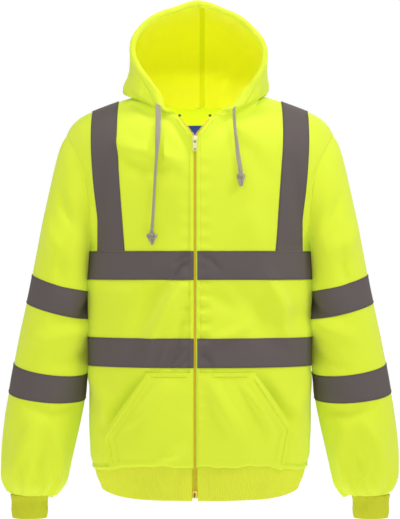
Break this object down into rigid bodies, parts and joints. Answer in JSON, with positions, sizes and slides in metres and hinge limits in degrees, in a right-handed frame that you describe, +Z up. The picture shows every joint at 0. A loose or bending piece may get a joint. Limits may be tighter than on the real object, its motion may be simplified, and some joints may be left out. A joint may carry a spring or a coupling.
{
  "type": "hi-vis hooded sweatshirt",
  "caption": "Full-zip hooded fleece sweatshirt in fluorescent yellow with grey reflective bands on body, shoulders and sleeves, filled out as if worn",
  "frame": {"origin": "between the shoulders at the base of the neck, where the wearer's shoulders carry the garment", "axes": "+Z up, -Y the front, +X the wearer's left side"},
  "size_m": [0.7072, 0.2892, 0.9095],
  "materials": {
    "fleece": "brushed knit fleece, fluorescent yellow",
    "rib": "rib knit, fluorescent yellow",
    "reflective_tape": "woven retro-reflective tape, matt grey",
    "zip_tape": "woven zip tape",
    "zip_metal": "enamelled metal, yellow",
    "cord": "flat braided cotton cord, grey",
    "label": "woven satin label, blue"
  },
  "bodies": {
    "garment": {"back": "fleece", "front_right": "fleece", "front_left": "fleece", "sleeve_right": "fleece", "sleeve_left": "fleece", "cuff_right": "rib", "cuff_left": "rib", "hem_rib": "rib", "hood_right": "fleece", "hood_left": "fleece", "pocket_right": "fleece", "pocket_left": "fleece", "chest_tape_front_right": "reflective_tape", "chest_tape_front_left": "reflective_tape", "chest_tape_back": "reflective_tape", "waist_tape_front_right": "reflective_tape", "waist_tape_front_left": "reflective_tape", "waist_tape_back": "reflective_tape", "shoulder_tape_right": "reflective_tape", "shoulder_tape_left": "reflective_tape", "sleeve_tape_upper_right": "reflective_tape", "sleeve_tape_upper_left": "reflective_tape", "sleeve_tape_lower_right": "reflective_tape", "sleeve_tape_lower_left": "reflective_tape", "zip_tape_right": "zip_tape", "zip_tape_left": "zip_tape", "zip_slider": "zip_metal", "zip_box": "zip_metal", "neck_label": "label", "eyelet_right": "zip_metal", "eyelet_left": "zip_metal", "drawcord_right": "cord", "drawcord_left": "cord", "cord_knot_right": "cord", "cord_knot_left": "cord"},
    "zip_pull": {"zip_pull": "zip_metal"}
  },
  "joints": [
    {"name": "pull_swing", "type": "hinge", "parent": "garment", "child": "zip_pull", "pos_m": [-0.0088, -0.1227, -0.056], "axis": [-1, 0, 0], "range_deg": [0, 165]}
  ]
}
